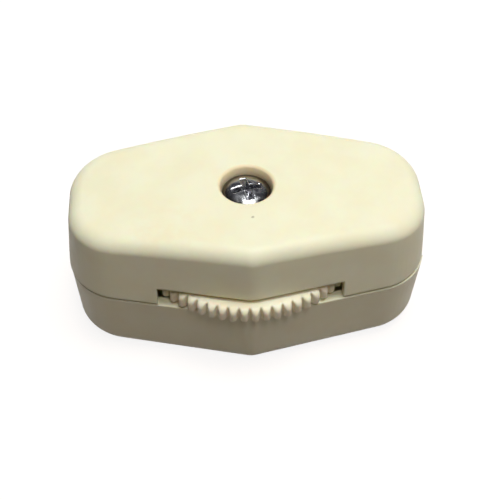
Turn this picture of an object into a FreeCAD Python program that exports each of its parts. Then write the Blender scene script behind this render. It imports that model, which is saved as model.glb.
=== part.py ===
import FreeCAD
import Part
import Sketcher
import math
import os

# Rotary inline cord switch: two moulded housing halves held by one screw and a captive nut,
# a serrated wheel on the cover's centre post, a brass bridge on its square hub and two brass contacts.
# Origin at the middle of the underside, +X along the cord, +Z up, millimetres.

Vector = FreeCAD.Vector
up = Vector(0, 0, 1)
tolerance = 1e-4
edge_share = 0.95  # most of the radius left at a wall that its fillet may take

doc = FreeCAD.newDocument("cord_switch")
sheet = doc.addObject("Spreadsheet::Sheet", "dim")

dimensions = {
    # housing
    "housing_length": 47.6,
    "housing_width": 27.5,
    "end_flat": 3.7,
    "corner_radius": 8.0,
    "vertex_radius": 3.6,
    "base_height": 10.4,
    "cover_height": 10.4,
    "draft_angle": 4,
    "wall": 1.5,
    "floor_wall": 1.8,
    "top_wall": 1.8,
    "base_edge_radius": 2.6,
    "cover_edge_radius": 2.0,
    "cover_rim_bevel": 0.35,
    "base_offset": 0.12,
    "rib": 1.2,
    "rib_drop": 0.6,
    "rib_embed": 0.25,
    "guide_setback": 0.2,
    # cord entry
    "cord_slot_width": 7.8,
    "cord_slot_height": 5.0,
    "cord_slot_radius": 1.4,
    "clamp_from_end": 3.2,
    "cord_stop_gap": 7.0,
    "clamp_bite": 0.4,
    "clamp_side_gap": 0.5,
    # locating pegs
    "peg_from_end": 6.6,
    "peg_guide_gap": 0.4,
    "peg_radius": 1.0,
    "peg_length": 2.6,
    "peg_clearance": 0.1,
    "peg_end_gap": 0.5,
    "peg_wall": 0.8,
    # wheel
    "wheel_radius": 15.1,
    "tooth_count": 65,
    "tooth_depth": 0.9,
    "tooth_tip_width": 0.4,
    "tooth_embed": 0.12,
    "rim_thickness": 2.0,
    "wheel_gap": 0.4,
    "slot_top_gap": 0.6,
    "slot_clearance": 0.18,
    "hub_margin": 0.5,
    "hub_corner_radius": 1.6,
    "post_radius": 3.2,
    "bearing_clearance": 0.08,
    "thrust_gap": 0.25,
    # brass bridge on the hub
    "bridge_thickness": 0.4,
    "bridge_width": 5.2,
    "bridge_ring_width": 1.07,
    "bridge_bore_gap": 0.35,
    "bridge_leg": 3.0,
    "bridge_fit": 0.04,
    # brass contacts
    "strip_thickness": 0.5,
    "strip_height": 3.0,
    "strip_lift": 0.5,
    "strip_bend_radius": 0.6,
    "contact_gap": 1.9,
    "contact_front": 4.0,
    "arm_y": 4.2,
    "blade_end": 3.4,
    "blade_gap": 0.08,
    "prong_y": 1.8,
    "prong_pitch": 1.6,
    "prong_side": 0.8,
    "prong_shoulder": 0.8,
    "prong_tip": 3.8,
    "prong_valley": 1.2,
    "holder_fit": 0.05,
    "holder_arm_gap": 1.2,
    # screw and nut
    "screw_radius": 1.42,
    "screw_clearance": 0.18,
    "head_radius": 3.2,
    "head_height": 2.35,
    "head_bevel": 0.7,
    "head_sink": 0.5,
    "recess_gap": 0.4,
    "head_seat": 1.5,
    "recess_wall": 1.4,
    "recess_rim_bevel": 0.2,
    "cross_length": 3.8,
    "cross_width": 1.0,
    "cross_depth": 1.6,
    "cross_turn": 12.5,
    "nut_across": 6.35,
    "nut_thickness": 2.4,
    "nut_sink": 1.0,
    "nut_clearance": 0.1,
    "nut_thread_gap": 0.03,
    "nut_wall": 1.3,
    "nut_roof": 1.4,
    "screw_end_gap": 0.3,
}
for row, (alias, number) in enumerate(dimensions.items(), start=1):
    sheet.set(f"A{row}", alias)
    sheet.set(f"B{row}", str(number))
    sheet.setAlias(f"B{row}", alias)
doc.recompute()

# Places shared by several pieces, as expressions on the sheet.
parting = "dim.base_height"
top = "(dim.base_height + dim.cover_height)"
corner_x = "(dim.housing_length / 2 - dim.corner_radius)"
corner_y = "(dim.end_flat / 2)"
vertex_y = "(dim.housing_width / 2 - dim.vertex_radius)"
corner_to_vertex = f"sqrt(({vertex_y} - {corner_y})^2 + {corner_x}^2)"
slope = (
    f"(atan2({vertex_y} - {corner_y}; {corner_x})"
    f" - asin((dim.corner_radius - dim.vertex_radius) / {corner_to_vertex}))"
)
side_wall = f"({vertex_y} * cos({slope}) + dim.vertex_radius - dim.wall)"
slot_reach = "(dim.wheel_radius + dim.slot_clearance)"
slot_half = f"({side_wall} * sin({slope}) + sqrt({slot_reach}^2 - {side_wall}^2) * cos({slope}))"
guide_end = "(dim.housing_length / 2 - dim.wall - dim.guide_setback)"
rib_end_y = "(dim.housing_width / 2 - dim.wall + dim.rib_embed)"
rib_top = "(dim.base_height - dim.rib_drop)"
base_vertex = "(dim.vertex_radius - dim.base_height * tan(dim.draft_angle))"
cover_vertex = "(dim.vertex_radius - dim.cover_height * tan(dim.draft_angle))"
base_edge = f"min(dim.base_edge_radius; {edge_share} * {base_vertex})"
cover_edge = f"min(dim.cover_edge_radius; {edge_share} * {cover_vertex})"
cord_floor = "(dim.base_height - dim.cord_slot_height)"
guide_y = "(dim.cord_slot_width / 2)"
clamp_x = "(dim.housing_length / 2 - dim.clamp_from_end)"
contact_x = "(dim.wheel_radius + dim.contact_gap)"
cord_stop_x = f"({contact_x} - dim.cord_stop_gap)"
socket_radius = "(dim.peg_radius + dim.peg_clearance)"
peg_x = "(dim.housing_length / 2 - dim.peg_from_end)"
peg_y = f"({guide_y} + dim.rib + {socket_radius} + dim.peg_guide_gap)"
wheel_bottom = "(dim.base_height + dim.wheel_gap)"
wheel_top = f"({wheel_bottom} + dim.rim_thickness)"
slot_top = f"({wheel_top} + dim.slot_top_gap)"
bore_radius = "(dim.post_radius + dim.bearing_clearance)"
root_radius = "(dim.wheel_radius - dim.tooth_depth)"
disc_radius = f"({root_radius} - dim.tooth_embed)"
bridge_bore = f"({bore_radius} + dim.bridge_bore_gap)"
bridge_ring = f"({bridge_bore} + dim.bridge_ring_width)"
hub_half = f"({bridge_ring} + dim.hub_margin)"
recess_radius = "(dim.head_radius + dim.recess_gap)"
recess_floor = f"({top} - dim.head_sink - dim.head_height)"
thrust_face = f"({recess_floor} - dim.head_seat)"
hub_top = f"({thrust_face} - dim.thrust_gap)"
ceiling = f"({top} - dim.top_wall)"
strip_bottom = f"({wheel_top} + dim.strip_lift)"
nut_top = "(dim.nut_sink + dim.nut_thickness)"
nut_pocket_half = "(dim.nut_across / 2 + dim.nut_clearance)"
nut_boss_radius = f"({nut_pocket_half} / cos(30) + dim.nut_wall)"
screw_hole = "(dim.screw_radius + dim.screw_clearance)"
screw_end = "(dim.nut_sink + dim.screw_end_gap)"


def value(expression):
    """Number that an expression on the sheet gives now."""
    result = sheet.evalExpression(expression)
    return float(getattr(result, "Value", result))


def new_body(name):
    body = doc.addObject("PartDesign::Body", name)
    body.Label = name
    return body


def new_sketch(body, name, role, offset="0"):
    """Sketch on one of the body's origin planes, moved along its normal."""
    sketch = body.newObject("Sketcher::SketchObject", f"{body.Name}_{name}")
    plane = next(item for item in body.Origin.OriginFeatures if item.Role == role)
    sketch.AttachmentSupport = [(plane, "")]
    sketch.MapMode = "FlatFace"
    sketch.setExpression("AttachmentOffset.Base.z", offset)
    return sketch


def hold_point(sketch, item, point, x, y):
    """Holds a point of the sketch at two expressions measured from the sketch's origin."""
    for kind, axis, expression in (("DistanceX", -2, x), ("DistanceY", -1, y)):
        distance = value(expression)
        if abs(distance) < tolerance:
            sketch.addConstraint(Sketcher.Constraint("PointOnObject", item, point, axis))
        elif distance > 0:
            index = sketch.addConstraint(Sketcher.Constraint(kind, -1, 1, item, point, distance))
            sketch.setExpression(f"Constraints[{index}]", expression)
        else:
            index = sketch.addConstraint(Sketcher.Constraint(kind, item, point, -1, 1, -distance))
            sketch.setExpression(f"Constraints[{index}]", f"-({expression})")


def hold_radius(sketch, item, radius):
    index = sketch.addConstraint(Sketcher.Constraint("Radius", item, value(radius)))
    sketch.setExpression(f"Constraints[{index}]", radius)


def draw_polygon(sketch, corners):
    """Closed straight outline through corners given as pairs of expressions."""
    first = sketch.GeometryCount
    count = len(corners)
    places = [Vector(value(x), value(y), 0) for x, y in corners]
    for i in range(count):
        sketch.addGeometry(Part.LineSegment(places[i], places[(i + 1) % count]), False)
    for i, (x, y) in enumerate(corners):
        following = first + (i + 1) % count
        sketch.addConstraint(Sketcher.Constraint("Coincident", first + i, 2, following, 1))
        hold_point(sketch, first + i, 1, x, y)


def draw_rectangle(sketch, left, right, front, back):
    draw_polygon(sketch, [(left, front), (right, front), (right, back), (left, back)])


def draw_circle(sketch, x, y, radius):
    centre = Vector(value(x), value(y), 0)
    item = sketch.addGeometry(Part.Circle(centre, up, value(radius)), False)
    hold_point(sketch, item, 3, x, y)
    hold_radius(sketch, item, radius)


def draw_hexagon(sketch, half_across):
    """Regular hexagon on the axis, with two corners on the X axis."""
    corner = f"({half_across} / cos(30))"
    angles = range(0, 360, 60)
    draw_polygon(sketch, [(f"{corner} * cos({turn})", f"{corner} * sin({turn})") for turn in angles])


def draw_outline(sketch, inset, shift="0"):
    """Housing outline: a large arc at each end corner and a small one at each side's vertex, joined by
    tangent lines. The inset is taken off every radius, so the outline keeps its distance all round."""
    tilt = value(slope)
    corner = f"(dim.corner_radius - {inset})"
    vertex = f"(dim.vertex_radius - {inset})"
    arcs = [
        (corner_x, f"-{corner_y}", corner, tilt - 90, 0),
        (corner_x, corner_y, corner, 0, 90 - tilt),
        ("0", vertex_y, vertex, 90 - tilt, 90 + tilt),
        (f"-{corner_x}", corner_y, corner, 90 + tilt, 180),
        (f"-{corner_x}", f"-{corner_y}", corner, 180, 270 - tilt),
        ("0", f"-{vertex_y}", vertex, 270 - tilt, 270 + tilt),
    ]
    curves = []
    for x, y, radius, start, end in arcs:
        centre = Vector(value(f"{x} + {shift}"), value(y), 0)
        full = Part.Circle(centre, up, value(radius))
        curves.append(Part.ArcOfCircle(full, math.radians(start), math.radians(end)))
    count = len(arcs)
    for curve in curves:
        sketch.addGeometry(curve, False)
    for i in range(count):
        line = Part.LineSegment(curves[i].EndPoint, curves[(i + 1) % count].StartPoint)
        sketch.addGeometry(line, False)
    for i, (x, y, radius, start, end) in enumerate(arcs):
        sketch.addConstraint(Sketcher.Constraint("Tangent", i, 2, count + i, 1))
        sketch.addConstraint(Sketcher.Constraint("Tangent", count + i, 2, (i + 1) % count, 1))
        hold_point(sketch, i, 3, f"{x} + {shift}", y)
        hold_radius(sketch, i, radius)


def sweep(body, kind, name, sketch, length, taper, reverse, symmetric):
    """Pad or pocket of a sketch, which has to change the body's volume in its own direction."""
    before = body.Shape.Volume if body.Tip else 0
    feature = body.newObject(f"PartDesign::{kind}", f"{body.Name}_{name}")
    feature.Profile = sketch
    feature.setExpression("Length", length)
    feature.setExpression("TaperAngle", taper)
    feature.Reversed = reverse
    if symmetric:
        feature.SideType = "Symmetric"
    doc.recompute()
    change = body.Shape.Volume - before
    if (change > 0) != (kind == "Pad") or abs(change) < tolerance:
        raise RuntimeError(f"{feature.Name} changes the volume by {change}")
    return feature


def pad(body, name, sketch, length, taper="0", reverse=False, symmetric=False):
    return sweep(body, "Pad", name, sketch, length, taper, reverse, symmetric)


def pocket(body, name, sketch, length, taper="0", reverse=False, symmetric=False):
    return sweep(body, "Pocket", name, sketch, length, taper, reverse, symmetric)


def finish_edges(body, kind, size_name, name, size, chosen):
    """Fillet or chamfer on the edges of the body's last feature that the test picks."""
    feature = body.Tip
    names = [f"Edge{i}" for i, edge in enumerate(feature.Shape.Edges, start=1) if chosen(edge)]
    finish = body.newObject(f"PartDesign::{kind}", f"{body.Name}_{name}")
    finish.Base = (feature, names)
    finish.setExpression(size_name, size)
    doc.recompute()
    return finish


def round_edges(body, name, radius, chosen):
    return finish_edges(body, "Fillet", "Radius", name, radius, chosen)


def bevel_edges(body, name, width, chosen):
    return finish_edges(body, "Chamfer", "Size", name, width, chosen)


def at_height(height):
    """Test for edges that lie wholly at one height."""
    level = value(height)

    def chosen(edge):
        box = edge.BoundBox
        return abs(box.ZMin - level) < tolerance and abs(box.ZMax - level) < tolerance

    return chosen


def upright_at(places):
    """Test for vertical edges that stand at given places."""
    points = [(value(x), value(y)) for x, y in places]

    def chosen(edge):
        box = edge.BoundBox
        if box.ZLength < tolerance or box.XLength > tolerance or box.YLength > tolerance:
            return False
        return any(abs(box.XMin - x) < tolerance and abs(box.YMin - y) < tolerance for x, y in points)

    return chosen


def make_base():
    """Lower half: drafted shell with a nut boss, cord guides and supports, stops for the cut conductor,
    a saddle for the uncut one, peg sockets and a cord notch in each end."""
    body = new_body("base")
    shell = new_sketch(body, "outline", "XY_Plane", parting)
    draw_outline(shell, "0", "dim.base_offset")
    pad(body, "block", shell, parting, "-dim.draft_angle", reverse=True)
    round_edges(body, "lower_edge", base_edge, at_height("0"))

    inside = new_sketch(body, "inside", "XY_Plane", parting)
    draw_outline(inside, "dim.wall", "dim.base_offset")
    pocket(body, "cavity", inside, f"{parting} - dim.floor_wall", "-dim.draft_angle")

    notch = new_sketch(body, "cord_notch", "YZ_Plane")
    draw_rectangle(notch, f"-{guide_y}", guide_y, cord_floor, f"{parting} + dim.wall")
    pocket(body, "cord_notches", notch, "2 * dim.housing_length", symmetric=True)
    floor_level = value(cord_floor)
    half_width = value(guide_y)
    round_edges(
        body,
        "cord_notch_corners",
        "dim.cord_slot_radius",
        lambda edge: edge.BoundBox.ZLength < tolerance
        and edge.BoundBox.YLength < tolerance
        and abs(edge.BoundBox.ZMin - floor_level) < tolerance
        and abs(abs(edge.BoundBox.YMin) - half_width) < tolerance,
    )

    nut_boss = new_sketch(body, "nut_boss", "XY_Plane", "dim.floor_wall")
    draw_circle(nut_boss, "0", "0", nut_boss_radius)
    pad(body, "nut_boss", nut_boss, f"{nut_top} + dim.nut_roof - dim.floor_wall")
    column = new_sketch(body, "column", "XY_Plane", "dim.floor_wall")
    draw_circle(column, "0", "0", "dim.post_radius")
    pad(body, "column", column, f"{parting} - dim.floor_wall")

    guides = new_sketch(body, "guides", "XY_Plane", "dim.floor_wall")
    guide_start = f"({contact_x} - dim.rib)"
    for side in ("", "-"):
        for face in ("", "-"):
            draw_rectangle(
                guides,
                f"{side}{guide_start}",
                f"{side}{guide_end}",
                f"{face}{guide_y}",
                f"{face}({guide_y} + dim.rib)",
            )
    pad(body, "guides", guides, f"{rib_top} - dim.floor_wall")

    supports = new_sketch(body, "supports", "XY_Plane", "dim.floor_wall")
    for side in ("", "-"):
        for place in (contact_x, clamp_x):
            draw_rectangle(
                supports,
                f"{side}{place} - dim.rib / 2",
                f"{side}{place} + dim.rib / 2",
                f"-{guide_y} - dim.rib / 2",
                f"{guide_y} + dim.rib / 2",
            )
    draw_rectangle(supports, "-dim.rib / 2", "dim.rib / 2", "dim.post_radius / 2", rib_end_y)
    pad(body, "supports", supports, f"{cord_floor} - dim.floor_wall")

    stops = new_sketch(body, "stops", "XY_Plane", "dim.floor_wall")
    draw_rectangle(stops, "-dim.rib / 2", "dim.rib / 2", f"-{rib_end_y}", "-dim.post_radius / 2")
    stop_front = f"(({side_wall} + dim.rib_embed - {cord_stop_x} * sin({slope})) / cos({slope}))"
    for side in ("", "-"):
        draw_rectangle(
            stops,
            f"{side}{cord_stop_x} - dim.rib / 2",
            f"{side}{cord_stop_x} + dim.rib / 2",
            f"-{stop_front}",
            "-dim.rib / 2",
        )
    pad(body, "stops", stops, f"{rib_top} - dim.floor_wall")

    sockets = new_sketch(body, "sockets", "XY_Plane", "dim.floor_wall")
    for side in ("", "-"):
        draw_circle(sockets, f"{side}{peg_x}", f"-{peg_y}", f"{socket_radius} + dim.peg_wall")
    pad(body, "sockets", sockets, f"{parting} - dim.floor_wall")
    holes = new_sketch(body, "socket_holes", "XY_Plane", parting)
    for side in ("", "-"):
        draw_circle(holes, f"{side}{peg_x}", f"-{peg_y}", socket_radius)
    pocket(body, "socket_holes", holes, "dim.peg_length + dim.peg_end_gap")

    nut_seat = new_sketch(body, "nut_seat", "XY_Plane")
    draw_hexagon(nut_seat, nut_pocket_half)
    pocket(body, "nut_pocket", nut_seat, nut_top, reverse=True)
    hole = new_sketch(body, "screw_hole", "XY_Plane", parting)
    draw_circle(hole, "0", "0", screw_hole)
    pocket(body, "screw_hole", hole, parting)
    return body


def make_cover():
    """Upper half: drafted shell notched front and back for the wheel, with the wheel's post, the screw
    recess, a clamp rib over each cord notch, slotted holders for the contacts and two locating pegs."""
    body = new_body("cover")
    shell = new_sketch(body, "outline", "XY_Plane", parting)
    draw_outline(shell, "0")
    pad(body, "block", shell, "dim.cover_height", "-dim.draft_angle")
    round_edges(body, "top_edge", cover_edge, at_height(top))
    bevel_edges(body, "rim_edge", "dim.cover_rim_bevel", at_height(parting))

    inside = new_sketch(body, "inside", "XY_Plane", parting)
    draw_outline(inside, "dim.wall")
    pocket(body, "cavity", inside, "dim.cover_height - dim.top_wall", "-dim.draft_angle", reverse=True)

    notch = new_sketch(body, "wheel_notch", "XZ_Plane")
    draw_rectangle(notch, f"-{slot_half}", slot_half, f"{parting} - dim.wall", slot_top)
    pocket(body, "wheel_notches", notch, "2 * dim.housing_width", symmetric=True)

    post = new_sketch(body, "post", "XY_Plane", parting)
    draw_circle(post, "0", "0", "dim.post_radius")
    pad(body, "post", post, f"{ceiling} - {parting}")
    head_boss = new_sketch(body, "head_boss", "XY_Plane", thrust_face)
    draw_circle(head_boss, "0", "0", f"{recess_radius} + dim.recess_wall")
    pad(body, "head_boss", head_boss, f"{ceiling} - {thrust_face}")

    clamps = new_sketch(body, "clamps", "XY_Plane", f"{parting} - dim.clamp_bite")
    clamp_half = f"({guide_y} - dim.clamp_side_gap)"
    for side in ("", "-"):
        draw_rectangle(
            clamps,
            f"{side}{clamp_x} - dim.rib / 2",
            f"{side}{clamp_x} + dim.rib / 2",
            f"-{clamp_half}",
            clamp_half,
        )
    pad(body, "clamps", clamps, f"{ceiling} - {parting} + dim.clamp_bite")

    holders = new_sketch(body, "holders", "XY_Plane", strip_bottom)
    inner_face = f"({contact_x} - dim.strip_thickness / 2 - dim.holder_fit)"
    outer_face = f"({contact_x} + dim.strip_thickness / 2 + dim.holder_fit)"
    inner_back = f"({inner_face} - dim.rib)"
    outer_back = f"({outer_face} + dim.rib)"
    for side in ("", "-"):
        for near, far in ((inner_face, inner_back), (outer_face, outer_back)):
            draw_rectangle(
                holders,
                f"{side}{near}",
                f"{side}{far}",
                "-dim.contact_front",
                "dim.arm_y - dim.holder_arm_gap",
            )
    pad(body, "holders", holders, f"{ceiling} - {strip_bottom}")

    peg_bosses = new_sketch(body, "peg_bosses", "XY_Plane", parting)
    for side in ("", "-"):
        draw_circle(peg_bosses, f"{side}{peg_x}", f"-{peg_y}", "dim.peg_radius + dim.peg_wall")
    pad(body, "peg_bosses", peg_bosses, f"{ceiling} - {parting}")
    pegs = new_sketch(body, "pegs", "XY_Plane", parting)
    for side in ("", "-"):
        draw_circle(pegs, f"{side}{peg_x}", f"-{peg_y}", "dim.peg_radius")
    pad(body, "pegs", pegs, "dim.peg_length", reverse=True)

    recess = new_sketch(body, "recess", "XY_Plane", top)
    draw_circle(recess, "0", "0", recess_radius)
    pocket(body, "screw_recess", recess, f"{top} - {recess_floor}")
    rim = value(recess_radius)
    on_top = at_height(top)
    bevel_edges(
        body,
        "recess_rim",
        "dim.recess_rim_bevel",
        lambda edge: on_top(edge) and abs(edge.BoundBox.XLength - 2 * rim) < tolerance,
    )
    hole = new_sketch(body, "screw_hole", "XY_Plane", top)
    draw_circle(hole, "0", "0", screw_hole)
    pocket(body, "screw_hole", hole, "dim.cover_height")
    return body


def make_thumb_wheel():
    """Serrated rim and a square hub that the contact blades snap over, with a seat for the bridge."""
    body = new_body("thumb_wheel")
    disc = new_sketch(body, "disc", "XY_Plane", wheel_bottom)
    draw_circle(disc, "0", "0", disc_radius)
    pad(body, "disc", disc, "dim.rim_thickness")

    hub = new_sketch(body, "hub", "XY_Plane", wheel_bottom)
    draw_rectangle(hub, f"-{hub_half}", hub_half, f"-{hub_half}", hub_half)
    pad(body, "hub", hub, f"{hub_top} - {wheel_bottom}")
    hub_corners = [(f"{x}{hub_half}", f"{y}{hub_half}") for x in ("", "-") for y in ("", "-")]
    round_edges(body, "hub_corners", "dim.hub_corner_radius", upright_at(hub_corners))

    ring_seat = new_sketch(body, "ring_seat", "XY_Plane", hub_top)
    draw_circle(ring_seat, "0", "0", f"{bridge_ring} + dim.bridge_fit")
    pocket(body, "ring_seat", ring_seat, "dim.bridge_thickness")
    strap_half = "(dim.bridge_width / 2 + dim.bridge_fit)"
    strap_seat = new_sketch(body, "strap_seat", "XY_Plane", hub_top)
    draw_rectangle(strap_seat, f"-{strap_half}", strap_half, f"-{hub_half}", hub_half)
    pocket(body, "strap_seat", strap_seat, "dim.bridge_thickness")
    leg_seat = new_sketch(body, "leg_seats", "XY_Plane", hub_top)
    leg_face = f"({hub_half} - dim.bridge_thickness)"
    for side in ("", "-"):
        draw_rectangle(leg_seat, f"-{strap_half}", strap_half, f"{side}{leg_face}", f"{side}{hub_half}")
    pocket(body, "leg_seats", leg_seat, "dim.bridge_leg + dim.bridge_fit")

    bore = new_sketch(body, "bore", "XY_Plane", hub_top)
    draw_circle(bore, "0", "0", bore_radius)
    pocket(body, "bore", bore, f"{hub_top} - {wheel_bottom}")

    tooth = new_sketch(body, "tooth", "XY_Plane", wheel_bottom)
    draw_tooth(tooth)
    tooth_pad = pad(body, "tooth", tooth, "dim.rim_thickness")
    teeth = body.newObject("PartDesign::PolarPattern", "thumb_wheel_teeth")
    teeth.Originals = [tooth_pad]
    teeth.Axis = (tooth, ["N_Axis"])
    teeth.Angle = 360
    teeth.setExpression("Occurrences", "dim.tooth_count")
    body.Tip = teeth
    doc.recompute()
    return body


def draw_tooth(sketch):
    """One tooth of the wheel on the X axis: flanks that close on a narrow flat tip and meet the next
    tooth's flanks in a sharp valley, then run on into the disc."""
    half_pitch = "(180 / dim.tooth_count)"
    valley_x = f"({root_radius} * cos({half_pitch}))"
    valley_y = f"({root_radius} * sin({half_pitch}))"
    tip_x = "dim.wheel_radius"
    tip_half = "(dim.tooth_tip_width / 2)"
    flank_slope = f"(({valley_y} - {tip_half}) / ({tip_x} - {valley_x}))"
    root_x = f"({disc_radius} - dim.tooth_embed)"
    root_half = f"({tip_half} + ({tip_x} - {root_x}) * {flank_slope})"
    draw_polygon(
        sketch,
        [(root_x, f"-{root_half}"), (tip_x, f"-{tip_half}"), (tip_x, tip_half), (root_x, root_half)],
    )


def make_contact_bridge():
    """Brass clip let into the hub's top, with a leg down each of two opposite flats."""
    body = new_body("contact_bridge")
    under = f"({hub_top} - dim.bridge_thickness)"
    strap_half = "(dim.bridge_width / 2)"
    ring = new_sketch(body, "ring", "XY_Plane", under)
    draw_circle(ring, "0", "0", bridge_ring)
    pad(body, "ring", ring, "dim.bridge_thickness")
    strap = new_sketch(body, "strap", "XY_Plane", under)
    draw_rectangle(strap, f"-{strap_half}", strap_half, f"-{hub_half}", hub_half)
    pad(body, "strap", strap, "dim.bridge_thickness")
    legs = new_sketch(body, "legs", "XY_Plane", hub_top)
    leg_face = f"({hub_half} - dim.bridge_thickness)"
    for side in ("", "-"):
        draw_rectangle(legs, f"-{strap_half}", strap_half, f"{side}{leg_face}", f"{side}{hub_half}")
    pad(body, "legs", legs, "dim.bridge_leg", reverse=True)
    bore = new_sketch(body, "bore", "XY_Plane", hub_top)
    draw_circle(bore, "0", "0", bridge_bore)
    pocket(body, "bore", bore, "dim.bridge_thickness")
    return body


def make_contact(name, side):
    """Bent brass strip: a plate held in the cover, an arm along the housing and a blade on the hub's flat,
    with two prongs under the plate that pierce the cord's cut conductor."""
    body = new_body(name)
    half = "dim.strip_thickness / 2"
    plate_far = f"{side}({contact_x} + {half})"
    plate_near = f"{side}({contact_x} - {half})"
    blade_near = f"{side}({hub_half} + dim.blade_gap)"
    blade_far = f"{side}({hub_half} + dim.blade_gap + dim.strip_thickness)"
    arm_back = f"(dim.arm_y + {half})"
    arm_front = f"(dim.arm_y - {half})"
    strip = new_sketch(body, "strip", "XY_Plane", strip_bottom)
    draw_polygon(
        strip,
        [
            (plate_far, "-dim.contact_front"),
            (plate_far, arm_back),
            (blade_near, arm_back),
            (blade_near, "-dim.blade_end"),
            (blade_far, "-dim.blade_end"),
            (blade_far, arm_front),
            (plate_near, arm_front),
            (plate_near, "-dim.contact_front"),
        ],
    )
    pad(body, "strip", strip, "dim.strip_height")
    outer_bends = [(plate_far, arm_back), (blade_near, arm_back)]
    inner_bends = [(plate_near, arm_front), (blade_far, arm_front)]
    outer_radius = "dim.strip_bend_radius + dim.strip_thickness"
    round_edges(body, "outer_bends", outer_radius, upright_at(outer_bends))
    round_edges(body, "inner_bends", "dim.strip_bend_radius", upright_at(inner_bends))

    prongs = new_sketch(body, "prongs", "YZ_Plane", f"{side}{contact_x}")
    front_tip = "(-dim.prong_y - dim.prong_pitch / 2)"
    back_tip = "(-dim.prong_y + dim.prong_pitch / 2)"
    shoulder = f"({parting} - dim.prong_shoulder)"
    tip_level = f"({parting} - dim.prong_tip)"
    tab_top = f"({strip_bottom} + dim.strip_height / 2)"
    draw_polygon(
        prongs,
        [
            (f"{front_tip} - dim.prong_side", tab_top),
            (f"{front_tip} - dim.prong_side", shoulder),
            (front_tip, tip_level),
            ("-dim.prong_y", f"{parting} - dim.prong_valley"),
            (back_tip, tip_level),
            (f"{back_tip} + dim.prong_side", shoulder),
            (f"{back_tip} + dim.prong_side", tab_top),
        ],
    )
    pad(body, "prongs", prongs, "dim.strip_thickness", symmetric=True)
    return body


def make_centre_screw():
    """Pan head screw with a cross recess, its thread left plain."""
    body = new_body("centre_screw")
    shank = new_sketch(body, "shank", "XY_Plane", screw_end)
    draw_circle(shank, "0", "0", "dim.screw_radius")
    pad(body, "shank", shank, f"{recess_floor} - {screw_end}")
    head = new_sketch(body, "head", "XY_Plane", recess_floor)
    draw_circle(head, "0", "0", "dim.head_radius")
    pad(body, "head", head, "dim.head_height")
    crown = f"({recess_floor} + dim.head_height)"
    bevel_edges(body, "crown", "dim.head_bevel", at_height(crown))
    cross = new_sketch(body, "cross", "XY_Plane", crown)
    cross.setExpression("AttachmentOffset.Rotation.Angle", "dim.cross_turn")
    arm = "dim.cross_length / 2"
    half = "dim.cross_width / 2"
    draw_polygon(
        cross,
        [
            (arm, f"-{half}"),
            (arm, half),
            (half, half),
            (half, arm),
            (f"-{half}", arm),
            (f"-{half}", half),
            (f"-{arm}", half),
            (f"-{arm}", f"-{half}"),
            (f"-{half}", f"-{half}"),
            (f"-{half}", f"-{arm}"),
            (half, f"-{arm}"),
            (half, f"-{half}"),
        ],
    )
    pocket(body, "cross_recess", cross, "dim.cross_depth")
    return body


def make_hex_nut():
    """Plain hexagon nut, its thread left to the bore's clearance."""
    body = new_body("hex_nut")
    flats = new_sketch(body, "flats", "XY_Plane", "dim.nut_sink")
    draw_hexagon(flats, "dim.nut_across / 2")
    pad(body, "block", flats, "dim.nut_thickness")
    bore = new_sketch(body, "bore", "XY_Plane", nut_top)
    draw_circle(bore, "0", "0", "dim.screw_radius + dim.nut_thread_gap")
    pocket(body, "bore", bore, "dim.nut_thickness")
    return body


subparts = [
    make_base(),
    make_cover(),
    make_thumb_wheel(),
    make_contact_bridge(),
    make_contact("left_contact", "-"),
    make_contact("right_contact", ""),
    make_centre_screw(),
    make_hex_nut(),
]
doc.recompute()

for item in doc.Objects:
    if "Invalid" in item.State or "Error" in item.State:
        raise RuntimeError(f"{item.Name} failed: {item.State}")
for subpart in subparts:
    shape = subpart.Shape
    if shape.isNull() or not shape.isValid() or len(shape.Solids) != 1:
        raise RuntimeError(f"{subpart.Label} is not one valid solid")

os.makedirs("parts", exist_ok=True)
for subpart in subparts:
    subpart.Shape.exportStep(f"parts/{subpart.Label}.step")
    print(subpart.Label, round(subpart.Shape.Volume, 2))
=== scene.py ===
import math

import bmesh
import bpy
import numpy as np
from mathutils import Matrix, Vector


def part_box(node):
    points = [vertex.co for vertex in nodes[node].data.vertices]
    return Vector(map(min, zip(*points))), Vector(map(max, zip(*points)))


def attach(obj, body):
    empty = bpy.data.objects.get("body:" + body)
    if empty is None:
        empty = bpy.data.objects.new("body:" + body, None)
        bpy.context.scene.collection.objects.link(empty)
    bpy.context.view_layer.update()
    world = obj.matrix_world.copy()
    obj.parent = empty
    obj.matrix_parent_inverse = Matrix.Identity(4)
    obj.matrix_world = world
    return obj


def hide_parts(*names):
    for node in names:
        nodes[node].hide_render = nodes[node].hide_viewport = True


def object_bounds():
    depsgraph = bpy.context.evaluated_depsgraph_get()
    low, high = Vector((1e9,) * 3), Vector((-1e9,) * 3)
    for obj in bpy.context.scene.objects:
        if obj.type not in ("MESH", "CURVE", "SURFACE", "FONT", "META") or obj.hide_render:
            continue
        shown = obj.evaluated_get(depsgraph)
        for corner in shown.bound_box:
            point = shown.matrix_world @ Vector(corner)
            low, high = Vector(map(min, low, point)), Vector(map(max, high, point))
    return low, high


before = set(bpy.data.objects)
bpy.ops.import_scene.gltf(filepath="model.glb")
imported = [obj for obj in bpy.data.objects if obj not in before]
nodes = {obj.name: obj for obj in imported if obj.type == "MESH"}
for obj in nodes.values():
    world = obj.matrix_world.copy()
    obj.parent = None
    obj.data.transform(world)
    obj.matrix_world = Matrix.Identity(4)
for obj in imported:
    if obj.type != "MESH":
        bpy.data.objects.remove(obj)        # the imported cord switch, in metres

scene = bpy.context.scene
cadLow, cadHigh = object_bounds()
mm = 0.001
fullTurn = 2 * math.pi
quarterTurn = math.pi / 2
white = (1.0, 1.0, 1.0)
seamHeight = 10.4 * mm               # where the halves of the housing meet
print("frame: %d nodes loaded" % len(nodes))


# Camera: stands back from the target along an azimuth and elevation, then rolls about its own axis.

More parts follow.
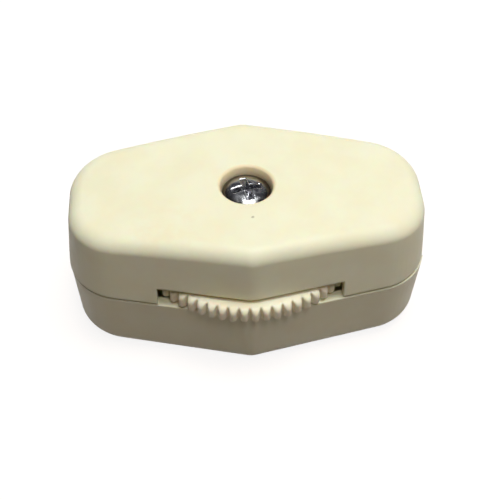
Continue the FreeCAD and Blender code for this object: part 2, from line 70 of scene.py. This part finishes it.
camera = {
    "target": (0.0, 0.0, 8.5 * mm),
    "azimuth": -3.69,        # degrees
    "elevation": 46.64,
    "roll": 0.52,
    "distance": 150.52 * mm,
    "lens": 78.61,           # in mm, as the sensor
    "sensor": 36.0,
    "shift": (0.00816, -0.00168),
    "nearest": 10.0 * mm,    # what is closer than this isn't drawn
}


def makeCamera():
    az, el, roll = (math.radians(camera[key]) for key in ("azimuth", "elevation", "roll"))
    back = Vector((math.sin(az) * math.cos(el), -math.cos(az) * math.cos(el), math.sin(el)))
    right = Vector((math.cos(az), math.sin(az), 0.0))
    up = back.cross(right)
    rolledRight = right * math.cos(roll) + up * math.sin(roll)
    rolledUp = up * math.cos(roll) - right * math.sin(roll)
    data = bpy.data.cameras.new("camera")
    data.sensor_width = camera["sensor"]
    data.lens = camera["lens"]
    data.shift_x, data.shift_y = camera["shift"]
    data.clip_start = camera["nearest"]
    eye = bpy.data.objects.new("camera", data)
    scene.collection.objects.link(eye)
    turn = Matrix((rolledRight, rolledUp, back)).transposed().to_4x4()
    eye.matrix_world = Matrix.Translation(Vector(camera["target"]) + back * camera["distance"]) @ turn
    scene.camera = eye


# Node helpers: an item is a number, a colour or another node's socket.

def feed(tree, socket, item):
    # links the item if it is a socket, and otherwise sets it; a colour socket also takes a fourth number
    if isinstance(item, bpy.types.NodeSocket):
        tree.links.new(item, socket)
    elif isinstance(item, tuple):
        socket.default_value = (*item, 1.0)[:len(socket.default_value)]
    else:
        socket.default_value = item


def dress(tree, shader, looks):
    # each look goes to the shader's socket of that name
    for key, item in looks.items():
        feed(tree, shader.inputs[key], item)


def combine(tree, operation, first, second=0.0):
    # one sum of two items, of which some operations take only the first
    node = tree.nodes.new("ShaderNodeMath")
    node.operation = operation
    for socket, item in zip(node.inputs, (first, second)):
        feed(tree, socket, item)
    return node.outputs[0]


def blend(tree, amount, first, second):
    # a colour that goes from the first to the second
    mix = tree.nodes.new("ShaderNodeMix")
    mix.data_type = "RGBA"
    for key, item in (("Factor", amount), ("A", first), ("B", second)):
        feed(tree, mix.inputs[key], item)
    return mix.outputs["Result"]


def spread(tree, amount, start, end, low=0.0, high=1.0):
    # a smooth change from low to high as the amount goes from start to end
    node = tree.nodes.new("ShaderNodeMapRange")
    node.interpolation_type = "SMOOTHSTEP"
    for key, number in (("From Min", start), ("From Max", end), ("To Min", low), ("To Max", high)):
        node.inputs[key].default_value = number
    tree.links.new(amount, node.inputs["Value"])
    return node.outputs["Result"]


def seenDirectly(tree):
    # 1 for camera rays, and 1 for camera, glossy and transmission rays
    path = tree.nodes.new("ShaderNodeLightPath")
    byCamera = path.outputs["Is Camera Ray"]
    mirrored = combine(tree, "MAXIMUM", path.outputs["Is Glossy Ray"], path.outputs["Is Transmission Ray"])
    return byCamera, combine(tree, "MAXIMUM", byCamera, mirrored)


# Studio: a soft lamp overhead, weaker ones in front, at the right and behind, a pale floor and a dim room.

studio = {
    "lamps": {                           # place and size in metres, watts, colour, and if metal mirrors it
        "overheadLamp": ((0.075, -0.005, 0.62), 0.30, 3.14, (0.97, 1.0, 0.985), True),
        "frontLamp": ((0.05, -0.30, 0.60), 0.16, 0.95, (1.0, 0.93, 0.95), True),
        "rightLamp": ((0.50, -0.08, 0.22), 0.30, 0.18, (1.0, 0.93, 0.95), True),
        "backLamp": ((-0.12, 0.55, 0.26), 0.40, 0.55, (1.0, 0.95, 0.96), False),
    },
    "floorSize": 4.0,
    "floorColour": (0.21, 0.175, 0.150), # what it sends back on to the object
    "floorGlow": 0.87,                   # added where it is seen, so that it reads as white paper
    "floorRoughness": 0.9,
    "room": (0.010, 0.009, 0.009),       # even light from all round
    "ceiling": (0.09, 0.09, 0.10),       # what polished metal sees above
    "horizon": (0.10, 0.45),             # up to the first it sees white, and from the second the ceiling
}


def makeFloor():
    half = studio["floorSize"] / 2
    corners = [(-half, -half, 0), (half, -half, 0), (half, half, 0), (-half, half, 0)]
    mesh = bpy.data.meshes.new("floor")
    mesh.from_pydata(corners, [], [(0, 1, 2, 3)])
    floor = bpy.data.objects.new("floor", mesh)
    scene.collection.objects.link(floor)
    material = bpy.data.materials.new("floorPaper")
    material.use_nodes = True
    tree = material.node_tree
    dress(tree, tree.nodes["Principled BSDF"], {
        "Base Color": studio["floorColour"],
        "Roughness": studio["floorRoughness"],
        "Specular IOR Level": 0.0,
        "Emission Color": white,
        "Emission Strength": combine(tree, "MULTIPLY", seenDirectly(tree)[1], studio["floorGlow"]),
    })
    mesh.materials.append(material)


def makeLamp(name, place, size, power, colour, mirrored):
    data = bpy.data.lights.new(name, "AREA")
    data.shape = "DISK"
    data.size = size
    data.energy = power
    data.color = colour
    lamp = bpy.data.objects.new(name, data)
    scene.collection.objects.link(lamp)
    lamp.location = place
    aim = Vector(camera["target"]) - Vector(place)
    lamp.rotation_euler = aim.to_track_quat("-Z", "Y").to_euler()
    lamp.visible_glossy = mirrored


def makeWorld():
    # white to the camera, a dim room for the object, and a dark ceiling over a white horizon for metal
    world = bpy.data.worlds.new("studio")
    world.use_nodes = True
    scene.world = world
    tree = world.node_tree
    place = tree.nodes.new("ShaderNodeTexCoord")
    split = tree.nodes.new("ShaderNodeSeparateXYZ")
    tree.links.new(place.outputs["Generated"], split.inputs[0])
    sky = tree.nodes.new("ShaderNodeValToRGB")
    for stop, height, colour in zip(sky.color_ramp.elements, studio["horizon"], (white, studio["ceiling"])):
        stop.position = height
        stop.color = (*colour, 1.0)
    tree.links.new(split.outputs["Z"], sky.inputs["Fac"])
    byCamera, direct = seenDirectly(tree)
    reflected = blend(tree, direct, studio["room"], sky.outputs["Color"])
    shown = blend(tree, byCamera, reflected, white)
    tree.links.new(shown, tree.nodes["Background"].inputs["Color"])


makeCamera()
makeFloor()
for lampName, lampFacts in studio["lamps"].items():
    makeLamp(lampName, *lampFacts)
makeWorld()
scene.view_settings.view_transform = "Standard"
print("studio: camera, floor, lamps and world set")


# Finishes: each is a small node tree on Object coordinates, in metres.

edgeSamples = 6        # looks round each point for an edge to ease


def newFinish(name):
    material = bpy.data.materials.new(name)
    material.use_nodes = True
    tree = material.node_tree
    place = tree.nodes.new("ShaderNodeTexCoord")
    return material, tree, tree.nodes["Principled BSDF"], place.outputs["Object"]


def noise(tree, place, size, detail=3.0, stretch=(1.0, 1.0, 1.0)):
    # even noise whose blotches are about the given size in metres, drawn out along the axes
    mapping = tree.nodes.new("ShaderNodeMapping")
    mapping.inputs["Scale"].default_value = stretch
    node = tree.nodes.new("ShaderNodeTexNoise")
    node.inputs["Scale"].default_value = 1.0 / size
    node.inputs["Detail"].default_value = detail
    tree.links.new(place, mapping.inputs["Vector"])
    tree.links.new(mapping.outputs["Vector"], node.inputs["Vector"])
    return node.outputs["Fac"]


def relief(tree, height, depth, softEdge):
    # the direction of a surface with fine relief, over edges that are eased by a small radius
    node = tree.nodes.new("ShaderNodeBump")
    node.inputs["Distance"].default_value = depth
    eased = tree.nodes.new("ShaderNodeBevel")
    eased.samples = edgeSamples
    eased.inputs["Radius"].default_value = softEdge
    tree.links.new(eased.outputs["Normal"], node.inputs["Normal"])
    tree.links.new(height, node.inputs["Height"])
    return node.outputs["Normal"]


def distanceFrom(tree, place, point):
    node = tree.nodes.new("ShaderNodeVectorMath")
    node.operation = "DISTANCE"
    tree.links.new(place, node.inputs[0])
    node.inputs[1].default_value = point
    return node.outputs["Value"]


def fromAxis(tree, place):
    # distance from the Z axis: the length of the point with its height taken out
    flat = tree.nodes.new("ShaderNodeVectorMath")
    flat.operation = "MULTIPLY"
    tree.links.new(place, flat.inputs[0])
    flat.inputs[1].default_value = (1.0, 1.0, 0.0)
    length = tree.nodes.new("ShaderNodeVectorMath")
    length.operation = "LENGTH"
    tree.links.new(flat.outputs["Vector"], length.inputs[0])
    return length.outputs["Value"]


ivory = {
    "housing": ((0.870, 0.825, 0.590), (0.885, 0.860, 0.640)),   # warm and pale tone
    "wheel": ((0.870, 0.790, 0.580), (0.890, 0.840, 0.650)),
    "mottle": 5.0 * mm,                  # patches of the two tones
    "mottleRange": (0.3, 0.7),           # the noise at which each tone is pure
    "polish": 2.0 * mm,                  # patches that differ in gloss
    "polishRange": (0.2, 0.8),
    "roughness": (0.40, 0.52),
    "grain": 0.30 * mm,
    "grainDepth": 0.004 * mm,
    "softEdge": 0.35 * mm,
    "sheen": 0.25,                       # share of the usual surface reflection
    "glow": 0.35,                        # light that goes a little way into the plastic
    "glowReach": 1.0 * mm,
    "glowTint": (1.0, 0.62, 0.30),       # red goes furthest
}
housingWearAndPaintedLight = {                           # each share is how strong a mark is, and each fade where it ends
    "markTone": (0.870, 0.790, 0.560),   # faint handling marks at the front left of the top
    "markPlace": (-11.0 * mm, -8.5 * mm, 20.8 * mm),
    "markReach": 9.0 * mm,
    "markShare": 0.75,
    "markSize": 1.6 * mm,
    "markDetail": 4.0,
    "markRange": (0.42, 0.66),
    "holeBounceLight": (0.950, 0.800, 0.520),   # painted light: the screw's hole lighter and warmer, for light bounced and glowing into it
    "holeBounceShare": 0.85,
    "holeBounceFade": (3.65 * mm, 3.90 * mm),  # from the axis
    "holeFloor": 17.0 * mm,
    # dark brown, for the speck of dirt and for the painted shade in the seam
    "dirtAndSeamShade": (0.20, 0.165, 0.10),
    "seamShadeShare": 0.30,                   # a thin line of painted shade where the halves meet
    "seamShadeFade": (0.02 * mm, 0.04 * mm),
    "seamShadeSlot": (12.1 * mm, 12.3 * mm),  # it starts outside the wheel's slot,
    "seamShadeEnd": (19.5 * mm, 20.5 * mm), # and stops round the right end, so that the base's lit lip shows
    "speckPlace": (0.44 * mm, -6.08 * mm, 20.8 * mm),
    "speckShare": 0.75,
    "speckFade": (0.168 * mm, 0.42 * mm),
    "speckRagged": (0.25 * mm, 0.30 * mm),       # the size of the notches in its edge, and their depth
}


def paintWearAndLight(tree, place, colour):
    # lays the handling marks, the painted light in the screw's hole, the painted shade in the seam and one
    # dark speck of dirt over the colour
    wearAndPaintedLight = housingWearAndPaintedLight
    split = tree.nodes.new("ShaderNodeSeparateXYZ")
    tree.links.new(place, split.inputs[0])
    x, z = split.outputs["X"], split.outputs["Z"]

    marks = spread(tree, noise(tree, place, wearAndPaintedLight["markSize"], wearAndPaintedLight["markDetail"]), *wearAndPaintedLight["markRange"])
    fromMark = distanceFrom(tree, place, wearAndPaintedLight["markPlace"])
    near = spread(tree, fromMark, 0.0, wearAndPaintedLight["markReach"], wearAndPaintedLight["markShare"], 0.0)
    colour = blend(tree, combine(tree, "MULTIPLY", marks, near), colour, wearAndPaintedLight["markTone"])

    # painted light: the wall of the screw's hole is made lighter and warmer, standing in for bounced light
    upHigh = combine(tree, "GREATER_THAN", z, wearAndPaintedLight["holeFloor"])
    inHole = spread(tree, fromAxis(tree, place), *wearAndPaintedLight["holeBounceFade"], wearAndPaintedLight["holeBounceShare"], 0.0)
    colour = blend(tree, combine(tree, "MULTIPLY", inHole, upHigh), colour, wearAndPaintedLight["holeBounceLight"])

    # painted shade: a thin dark line along the seam where the halves meet, for the shade in the gap
    offSeam = combine(tree, "ABSOLUTE", combine(tree, "SUBTRACT", z, seamHeight))
    seamShade = spread(tree, offSeam, *wearAndPaintedLight["seamShadeFade"], wearAndPaintedLight["seamShadeShare"], 0.0)
    besideSlot = spread(tree, combine(tree, "ABSOLUTE", x), *wearAndPaintedLight["seamShadeSlot"])
    beforeRightEnd = spread(tree, x, *wearAndPaintedLight["seamShadeEnd"], 1.0, 0.0)
    seamShadeMask = combine(tree, "MULTIPLY", besideSlot, beforeRightEnd)
    colour = blend(tree, combine(tree, "MULTIPLY", seamShade, seamShadeMask), colour, wearAndPaintedLight["dirtAndSeamShade"])

    notch, notchDepth = wearAndPaintedLight["speckRagged"]
    ragged = combine(tree, "MULTIPLY", noise(tree, place, notch), notchDepth)
    reach = combine(tree, "ADD", distanceFrom(tree, place, wearAndPaintedLight["speckPlace"]), ragged)
    speck = spread(tree, reach, *wearAndPaintedLight["speckFade"], wearAndPaintedLight["speckShare"], 0.0)
    return blend(tree, speck, colour, wearAndPaintedLight["dirtAndSeamShade"])


def makeIvory(name, piece):
    # two tones in soft patches, patches of gloss, and a fine grain that lets a little light in
    material, tree, shader, place = newFinish(name)
    mottle = spread(tree, noise(tree, place, ivory["mottle"]), *ivory["mottleRange"])
    colour = blend(tree, mottle, *ivory[piece])
    if piece == "housing":
        colour = paintWearAndLight(tree, place, colour)
    polish = noise(tree, place, ivory["polish"])
    grain = noise(tree, place, ivory["grain"])
    dress(tree, shader, {
        "Base Color": colour,
        "Roughness": spread(tree, polish, *ivory["polishRange"], *ivory["roughness"]),
        "Specular IOR Level": ivory["sheen"],
        "Subsurface Weight": ivory["glow"],
        "Subsurface Radius": ivory["glowTint"],
        "Subsurface Scale": ivory["glowReach"],
        "Normal": relief(tree, grain, ivory["grainDepth"], ivory["softEdge"]),
    })
    return material


plated = {
    "light": (0.60, 0.60, 0.62),
    "dull": (0.40, 0.40, 0.42),
    "blotch": 0.7 * mm,
    "roughness": (0.13, 0.27),
    "scratch": 0.10 * mm,
    "scratchDepth": 0.002 * mm,
    "softEdge": 0.05 * mm,
    "rimShade": (0.13, 0.12, 0.11),       # painted shade on the screw head's rim, which also darkens the outside of the nut
    "rimShadeFade": (2.10 * mm, 2.75 * mm),       # from the axis
}
brass = {
    "light": (0.80, 0.58, 0.27),
    "dull": (0.55, 0.37, 0.16),
    "blotch": 1.5 * mm,
    "roughness": (0.22, 0.42),
    "scratch": 0.15 * mm,
    "scratchDepth": 0.002 * mm,
    "softEdge": 0.06 * mm,
}
metalWork = {                            # the same for both
    "blotchRange": (0.3, 0.7),
    "scratchDetail": 2.0,
    "scratchStretch": (1.0, 0.08, 1.0),  # long along Y
}


def makeMetal(name, metal):
    # dull and light patches that differ in gloss, under fine scratches, and painted shade away from the axis
    material, tree, shader, place = newFinish(name)
    patches = spread(tree, noise(tree, place, metal["blotch"]), *metalWork["blotchRange"])
    colour = blend(tree, patches, metal["dull"], metal["light"])
    # painted shade: darker away from the axis, for the dark rim of the screw's head
    if "rimShade" in metal:
        edge = spread(tree, fromAxis(tree, place), *metal["rimShadeFade"])
        colour = blend(tree, edge, colour, metal["rimShade"])
    scratches = noise(tree, place, metal["scratch"], metalWork["scratchDetail"], metalWork["scratchStretch"])
    dress(tree, shader, {
        "Metallic": 1.0,
        "Base Color": colour,
        "Roughness": spread(tree, patches, 0.0, 1.0, *metal["roughness"]),
        "Normal": relief(tree, scratches, metal["scratchDepth"], metal["softEdge"]),
    })
    return material


finishes = {
    "housingIvory": makeIvory("housingIvory", "housing"),
    "wheelIvory": makeIvory("wheelIvory", "wheel"),
    "nickelPlate": makeMetal("nickelPlate", plated),
    "springBrass": makeMetal("springBrass", brass),
}
for brassNode in ("contact_bridge", "left_contact", "right_contact"):
    nodes[brassNode].data.materials.clear()
    nodes[brassNode].data.materials.append(finishes["springBrass"])
print("finishes: %d made" % len(finishes))


# Pieces: each takes the place of a CAD node and rides on that node's body.

mergeGap = 0.0005 * mm       # points closer than this become one
cutGap = 0.0002 * mm         # a cut this near to a point goes through it
tiny = 1e-6                  # keeps a division off zero


def addPiece(name, mesh, finish, body, node):
    mesh.materials.append(finishes[finish])
    piece = bpy.data.objects.new(name, mesh)
    scene.collection.objects.link(piece)
    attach(piece, body)
    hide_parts(node)
    print("%s: %d faces" % (name, len(mesh.polygons)))
    return piece


housingForm = {
    "reach": 20.0 * mm,          # the distance from the middle that the next two are given at
    "crown": 0.93 * mm,          # how much lower the top is there
    "flare": 0.39 * mm,          # how much further out each side is there, from the seam up
    "sideHalf": (13.7 * mm, 9.0 * mm),   # the sides of the flat form, in the middle and there
    "crownFoot": 13.4 * mm,      # the walls keep their height up to the top of the wheel's slot
    "slices": 60,                # cuts across the length, so that the flat faces can bend
    "hole": (3.0 * mm, 3.9 * mm, 17.9 * mm),     # the screw's hole: radii that it lies between, its floor
    "holeDraft": 0.32 * mm,      # how much narrower it is at its floor
    "holeCurve": 4,              # the power that puts most of that near the rim
    "holeRings": 12,             # cuts round its wall, so that it can curve
    "sharp": 25,                 # degrees, above which an edge stays sharp
}


def onHole(points):
    # which points are between the hole's radii and above its floor
    inside, seamShadeMask, floor = housingForm["hole"]
    across = np.hypot(points[:, 0], points[:, 1])
    return (across > inside) & (across < seamShadeMask) & (points[:, 2] > floor)


def cutPlane(work, parts, place, direction):
    # cuts these parts of the mesh along a plane, and gives them back with the new ones
    cut = bmesh.ops.bisect_plane(work, geom=parts, dist=cutGap, plane_co=place, plane_no=direction)
    return cut["geom"]


def sliceHalf(mesh):
    # merges the points, then cuts rings round the hole's wall and slices across the whole length
    floor = housingForm["hole"][2]
    work = bmesh.new()
    work.from_mesh(mesh)
    bmesh.ops.remove_doubles(work, verts=work.verts, dist=mergeGap)
    work.to_mesh(mesh)
    centres = np.empty(len(mesh.polygons) * 3)
    mesh.polygons.foreach_get("center", centres)
    work.faces.ensure_lookup_table()
    wall = [work.faces[index] for index in np.flatnonzero(onHole(centres.reshape(-1, 3)))]
    wall += dict.fromkeys(part for face in wall for part in (*face.edges, *face.verts))
    for height in np.linspace(floor, cadHigh.z, housingForm["holeRings"] + 1)[1:-1]:
        wall = cutPlane(work, wall, (0, 0, height), (0, 0, 1))
    for place in np.linspace(cadLow.x, cadHigh.x, housingForm["slices"] + 1)[1:-1]:
        cutPlane(work, work.verts[:] + work.edges[:] + work.faces[:], (place, 0, 0), (1, 0, 0))
    bmesh.ops.remove_doubles(work, verts=work.verts, dist=mergeGap)
    work.to_mesh(mesh)
    work.free()


def bendHalf(name, node):
    # a sliced copy of the half: its top sinks with the square of the distance from the middle, less so down
    # the walls, its sides go out in proportion to that distance, and the hole's wall comes in by one less a
    # power of the height above its floor
    form = housingForm
    mesh = nodes[node].data.copy()
    mesh.name = name
    mesh.materials.clear()
    sliceHalf(mesh)
    points = np.empty(len(mesh.vertices) * 3)
    mesh.vertices.foreach_get("co", points)
    points = points.reshape(-1, 3)
    x, y, z = points.T
    away = np.abs(x) / form["reach"]
    inMiddle, atReach = form["sideHalf"]
    side = inMiddle + (atReach - inMiddle) * away
    flare = form["flare"] * away * np.clip(z / seamHeight, 0, 1)
    foot = form["crownFoot"]
    sink = form["crown"] * away ** 2 * np.clip((z - foot) / (cadHigh.z - foot), 0, 1)
    bent = np.stack([x, y * (1 + flare / side), z - sink], axis=1)
    inside, _, floor = form["hole"]
    fall = np.where(onHole(points), 1 - ((z - floor) / (cadHigh.z - floor)) ** form["holeCurve"], 0)
    bent[:, :2] *= (1 - form["holeDraft"] * fall / np.maximum(np.hypot(x, y), inside))[:, None]
    mesh.vertices.foreach_set("co", bent.ravel())
    mesh.attributes.remove(mesh.attributes["custom_normal"])        # they are those of the flat form
    mesh.shade_smooth()
    mesh.set_sharp_from_angle(angle=math.radians(form["sharp"]))
    piece = addPiece(name, mesh, "housingIvory", "housing", node)
    shading = piece.modifiers.new("shading", "WEIGHTED_NORMAL")     # large faces keep their own direction
    shading.keep_sharp = True


# Turned pieces: rows of outlines round the Z axis, each row a set of columns, joined by quads.

def ringRow(across, turn, height):
    # points at the distances across from the axis, at the angles turn and the height
    return np.stack(np.broadcast_arrays(across * np.cos(turn), across * np.sin(turn), height), axis=-1)


def skin(name, rows, loop, sharp):
    # quads between neighbouring rows and columns; the columns close round, and the rows of a loop do too
    grid = np.stack(rows)
    count, columns = grid.shape[:2]
    index = np.arange(count * columns).reshape(count, columns)
    near = index if loop else index[:-1]
    far = np.roll(index, -1, axis=0) if loop else index[1:]
    quads = np.stack([near, np.roll(near, -1, axis=1), np.roll(far, -1, axis=1), far], axis=-1)
    mesh = bpy.data.meshes.new(name)
    mesh.from_pydata(grid.reshape(-1, 3).tolist(), [], quads.reshape(-1, 4).tolist())
    work = bmesh.new()
    work.from_mesh(mesh)
    bmesh.ops.remove_doubles(work, verts=work.verts, dist=mergeGap)
    work.to_mesh(mesh)
    work.free()
    mesh.shade_smooth()
    mesh.set_sharp_from_angle(angle=math.radians(sharp))
    return mesh


thumbWheel = {
    "teeth": 65,
    "perFlank": 9,               # columns from a tooth's tip to its root
    "toothDepth": 0.80 * mm,
    "toothWidth": 0.80,          # at the root, as a share of the pitch
    "rim": 2.0 * mm,
    "rimRows": 4,                # from the tips in to the roots
    "crown": (0.80 * mm, 0.50 * mm),     # how far in the rim's top starts to fall, and its fall at the tips
    "edgeEase": 0.30 * mm,
    "easeRows": 5,
    "bore": 3.28 * mm,
    "hubHalf": 5.2 * mm,
    "hubCorner": 1.6 * mm,
    "strapHalf": 2.64 * mm,
    "ringSeat": 4.74 * mm,
    "seatDepth": 0.4 * mm,
    "legLength": 3.04 * mm,
    "sharp": 40,
}


def roundedSquare(turn, half, corner):
    # distance from the axis to a square with round corners: half its side over the cosine of the angle from
    # the middle of that side, or the far side of the corner's circle
    fold = np.abs((turn + quarterTurn / 2) % quarterTurn - quarterTurn / 2)
    inner = half - corner
    onArc = inner * (np.cos(fold) + np.sin(fold))
    reach = np.maximum(corner ** 2 - (inner * (np.cos(fold) - np.sin(fold))) ** 2, 0)
    return np.where(np.tan(fold) <= inner / half, half / np.cos(fold), onArc + np.sqrt(reach))


def lifted(outline, height):
    # the same outline at another height
    row = outline.copy()
    row[:, 2] = height
    return row


def makeThumbWheel():
    # each tooth is half an ellipse, with a narrow flat valley before the next; the rim's top falls as a
    # parabola to the tips, quarter circles ease its edges, and a square hub with seats for the bridge stands
    # on top
    wheel = thumbWheel
    teeth = wheel["teeth"]
    low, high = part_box("thumb_wheel")
    bottom, hubTop = low.z, high.z
    rimTop = bottom + wheel["rim"]
    seat = hubTop - wheel["seatDepth"]
    legFoot = hubTop - wheel["legLength"]
    strap = math.atan2(wheel["hubHalf"], wheel["strapHalf"])
    corners = np.array([strap, math.pi - strap, math.pi + strap, fullTurn - strap])
    halfTooth = wheel["toothWidth"] / 2
    flank = halfTooth * np.sin(np.linspace(0, quarterTurn, wheel["perFlank"]))
    oneTooth = np.concatenate([-flank[:0:-1], flank, [0.5]])
    pitches = (np.arange(teeth)[:, None] + oneTooth).ravel() % teeth
    turn = np.sort(np.concatenate([pitches * fullTurn / teeth, corners, corners]))
    offTooth = np.abs((turn * teeth / fullTurn + 0.5) % 1 - 0.5) / halfTooth
    tooth = high.x - wheel["toothDepth"] * (1 - np.sqrt(np.maximum(1 - offTooth ** 2, 0)))

    order = np.arange(len(turn))
    firsts = [order[turn == corner][0] for corner in corners]        # a leg seat lies between the inner pairs
    inSeat = ((order > firsts[0]) & (order <= firsts[1])) | ((order > firsts[2]) & (order <= firsts[3]))
    onSeat = inSeat | np.isin(turn, corners)
    square = roundedSquare(turn, wheel["hubHalf"], wheel["hubCorner"])
    hub = ringRow(square, turn, 0.0)
    cut = hub.copy()
    cut[:, 1] = np.where(inSeat, hub[:, 1] * (1 - wheel["seatDepth"] / wheel["hubHalf"]), hub[:, 1])
    strapEdge = wheel["strapHalf"] / np.maximum(np.abs(np.cos(turn)), tiny)
    inner = np.minimum(np.maximum(wheel["ringSeat"], strapEdge), square)
    ledge = np.where(onSeat[:, None], cut, ringRow(inner, turn, 0.0))
    hubCrown = np.where(onSeat, seat, hubTop)
    crownIn, crownFall = wheel["crown"]

    def crownAt(across):
        return rimTop - crownFall * np.clip(1 - (high.x - across) / crownIn, 0, 1) ** 2

    edge = wheel["edgeEase"]
    ease = np.linspace(0, quarterTurn, wheel["easeRows"])
    rows = [ringRow(wheel["bore"], turn, bottom)]
    for angle in ease:
        across = tooth - edge * (1 - np.sin(angle))
        rows.append(ringRow(across, turn, bottom + edge * (1 - np.cos(angle))))
    for angle in ease:
        across = tooth - edge * (1 - np.cos(angle))
        rows.append(ringRow(across, turn, crownAt(across) - edge * (1 - np.sin(angle))))
    root = high.x - wheel["toothDepth"] - edge
    for share in np.linspace(0, 1, wheel["rimRows"] + 1)[1:]:
        across = (tooth - edge) * (1 - share) + root * share
        rows.append(ringRow(across, turn, crownAt(across)))
    rows += [lifted(hub, rimTop), lifted(hub, legFoot), lifted(cut, legFoot), lifted(cut, seat)]
    rows += [lifted(cut, hubCrown), lifted(ledge, hubCrown), lifted(ledge, seat)]
    rows.append(ringRow(wheel["bore"], turn, seat))
    mesh = skin("serratedWheel", rows, True, wheel["sharp"])
    addPiece("serratedWheel", mesh, "wheelIvory", "wheel", "thumb_wheel")


centreScrew = {
    "headFloor": 17.95 * mm,
    "headSide": 1.65 * mm,       # height of the head's rim
    "rimEase": 0.18 * mm,
    "rimRows": 5,
    "domeRows": 8,
    "crossLength": 1.90 * mm,    # half the recess, at the top
    "crossHalf": 0.40 * mm,
    "crossEase": 0.22 * mm,      # its edge is worn round by this
    "crossTurn": math.radians(12.5),
    "crossDepth": 1.6 * mm,
    "crossTaper": 0.55,          # size of the recess at its foot
    "crossTip": 0.25 * mm,       # the foot goes down by this to the middle
    "endColumns": 4,             # across half the end of an arm
    "sideColumns": 8,            # along the side of an arm
    "wornRows": 5,
    "shank": 1.42 * mm,
    "pitch": 0.70 * mm,
    "threadDepth": 0.26 * mm,
    "perTurn": 10,               # rows to a turn of the thread
    "tip": 0.35 * mm,
    "chamfer": 0.1 * mm,         # at the tip and under the head
    "sharp": 35,
}


def threadFall(height, turn, pitch):
    # 0 on the crest of a helix and 1 in its root, rising and falling evenly between them
    return np.abs((height / pitch - turn / fullTurn) % 1 - 0.5) * 2


def makeCentreScrew():
    # from the tip up: a threaded shank whose radius follows a helix, a head with a parabola for its dome, and
    # a cross recess that narrows to its foot
    screw = centreScrew
    low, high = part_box("centre_screw")
    head = high.x
    headFloor = screw["headFloor"]
    arm = math.atan2(screw["crossHalf"], screw["crossLength"])
    eighth = quarterTurn / 2
    end = np.linspace(0, arm, screw["endColumns"], endpoint=False)
    octant = np.concatenate([end, np.linspace(arm, eighth, screw["sideColumns"], endpoint=False)])
    quarter = np.concatenate([octant, [eighth], quarterTurn - octant[:0:-1]])
    plain = np.concatenate([quarter + count * quarterTurn for count in range(4)])
    turn = plain + screw["crossTurn"]
    fold = np.abs((plain + eighth) % quarterTurn - eighth)
    narrow = np.maximum(np.sin(fold), tiny)

    def crossAt(margin):
        armEnd = (screw["crossLength"] + margin) / np.cos(fold)
        armSide = (screw["crossHalf"] + margin) / narrow
        return np.minimum(armEnd, armSide)

    ease = screw["rimEase"]
    rimTop = headFloor + screw["headSide"]
    dome = (high.z - rimTop) / head ** 2

    def onDome(across):
        return high.z - dome * across ** 2

    depth = screw["threadDepth"]
    chamfer = screw["chamfer"]
    rows = [ringRow(0.0, turn, low.z), ringRow(screw["shank"] - depth - chamfer, turn, low.z)]
    steps = int((headFloor - low.z) / screw["pitch"] * screw["perTurn"])
    for height in np.linspace(low.z, headFloor, steps):
        taper = np.clip((screw["tip"] - (height - low.z)) / screw["tip"], 0, 1)
        fall = np.maximum(threadFall(height, turn, screw["pitch"]), taper)
        rows.append(ringRow(screw["shank"] - depth * fall, turn, height))
    rows += [ringRow(head - chamfer, turn, headFloor), ringRow(head, turn, headFloor + chamfer)]
    for share in np.linspace(0, 1, screw["rimRows"]):
        across = head - ease * share ** 2
        rows.append(ringRow(across, turn, rimTop - ease * (1 - share) + (onDome(across) - rimTop) * share))
    inside = head - ease
    lip = crossAt(screw["crossEase"])
    for share in np.linspace(0, 1, screw["domeRows"] + 1)[1:]:
        across = inside + (lip - inside) * share
        rows.append(ringRow(across, turn, onDome(across)))
    for angle in np.linspace(0, quarterTurn, screw["wornRows"] + 1)[1:]:
        across = crossAt(screw["crossEase"] * (1 - np.sin(angle)))
        rows.append(ringRow(across, turn, onDome(across) - screw["crossEase"] * (1 - np.cos(angle))))
    foot = high.z - screw["crossDepth"]
    rows.append(ringRow(crossAt(0.0) * screw["crossTaper"], turn, foot))
    rows.append(ringRow(0.0, turn, foot - screw["crossTip"]))
    mesh = skin("domedScrew", rows, False, screw["sharp"])
    addPiece("domedScrew", mesh, "nickelPlate", "housing", "centre_screw")


hexNut = {
    "half": 3.175 * mm,          # half across the flats
    "washer": 0.96,              # radius of the flat face, as a share of that
    "cornerFall": 0.5,           # slope of the cone that takes off the corners
    "bore": 1.45 * mm,
    "pitch": 0.70 * mm,
    "threadDepth": 0.20 * mm,
    "perTurn": 10,
    "columns": 96,
    "sharp": 25,
}


def makeHexNut():
    # a hexagon whose corners a cone takes off at both ends, and a bore whose radius follows a helix
    nut = hexNut
    low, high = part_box("hex_nut")
    turn = np.arange(nut["columns"]) * fullTurn / nut["columns"]
    fold = np.abs(turn % (math.pi / 3) - math.pi / 6)
    across = nut["half"] / np.cos(fold)
    face = nut["washer"] * nut["half"]
    root = nut["bore"] + nut["threadDepth"]
    fall = nut["cornerFall"] * (across - face)
    rows = [ringRow(root, turn, low.z), ringRow(face, turn, low.z), ringRow(across, turn, low.z + fall)]
    rows += [ringRow(across, turn, high.z - fall), ringRow(face, turn, high.z), ringRow(root, turn, high.z)]
    steps = int((high.z - low.z) / nut["pitch"] * nut["perTurn"])
    for height in np.linspace(high.z, low.z, steps)[1:-1]:
        thread = nut["bore"] + nut["threadDepth"] * threadFall(height, turn, nut["pitch"])
        rows.append(ringRow(thread, turn, height))
    mesh = skin("captiveNut", rows, True, nut["sharp"])
    addPiece("captiveNut", mesh, "nickelPlate", "housing", "hex_nut")


bendHalf("lowerHalf", "base")
bendHalf("upperHalf", "cover")
makeThumbWheel()
makeCentreScrew()
makeHexNut()
print("pieces: halves, wheel, screw and nut made")
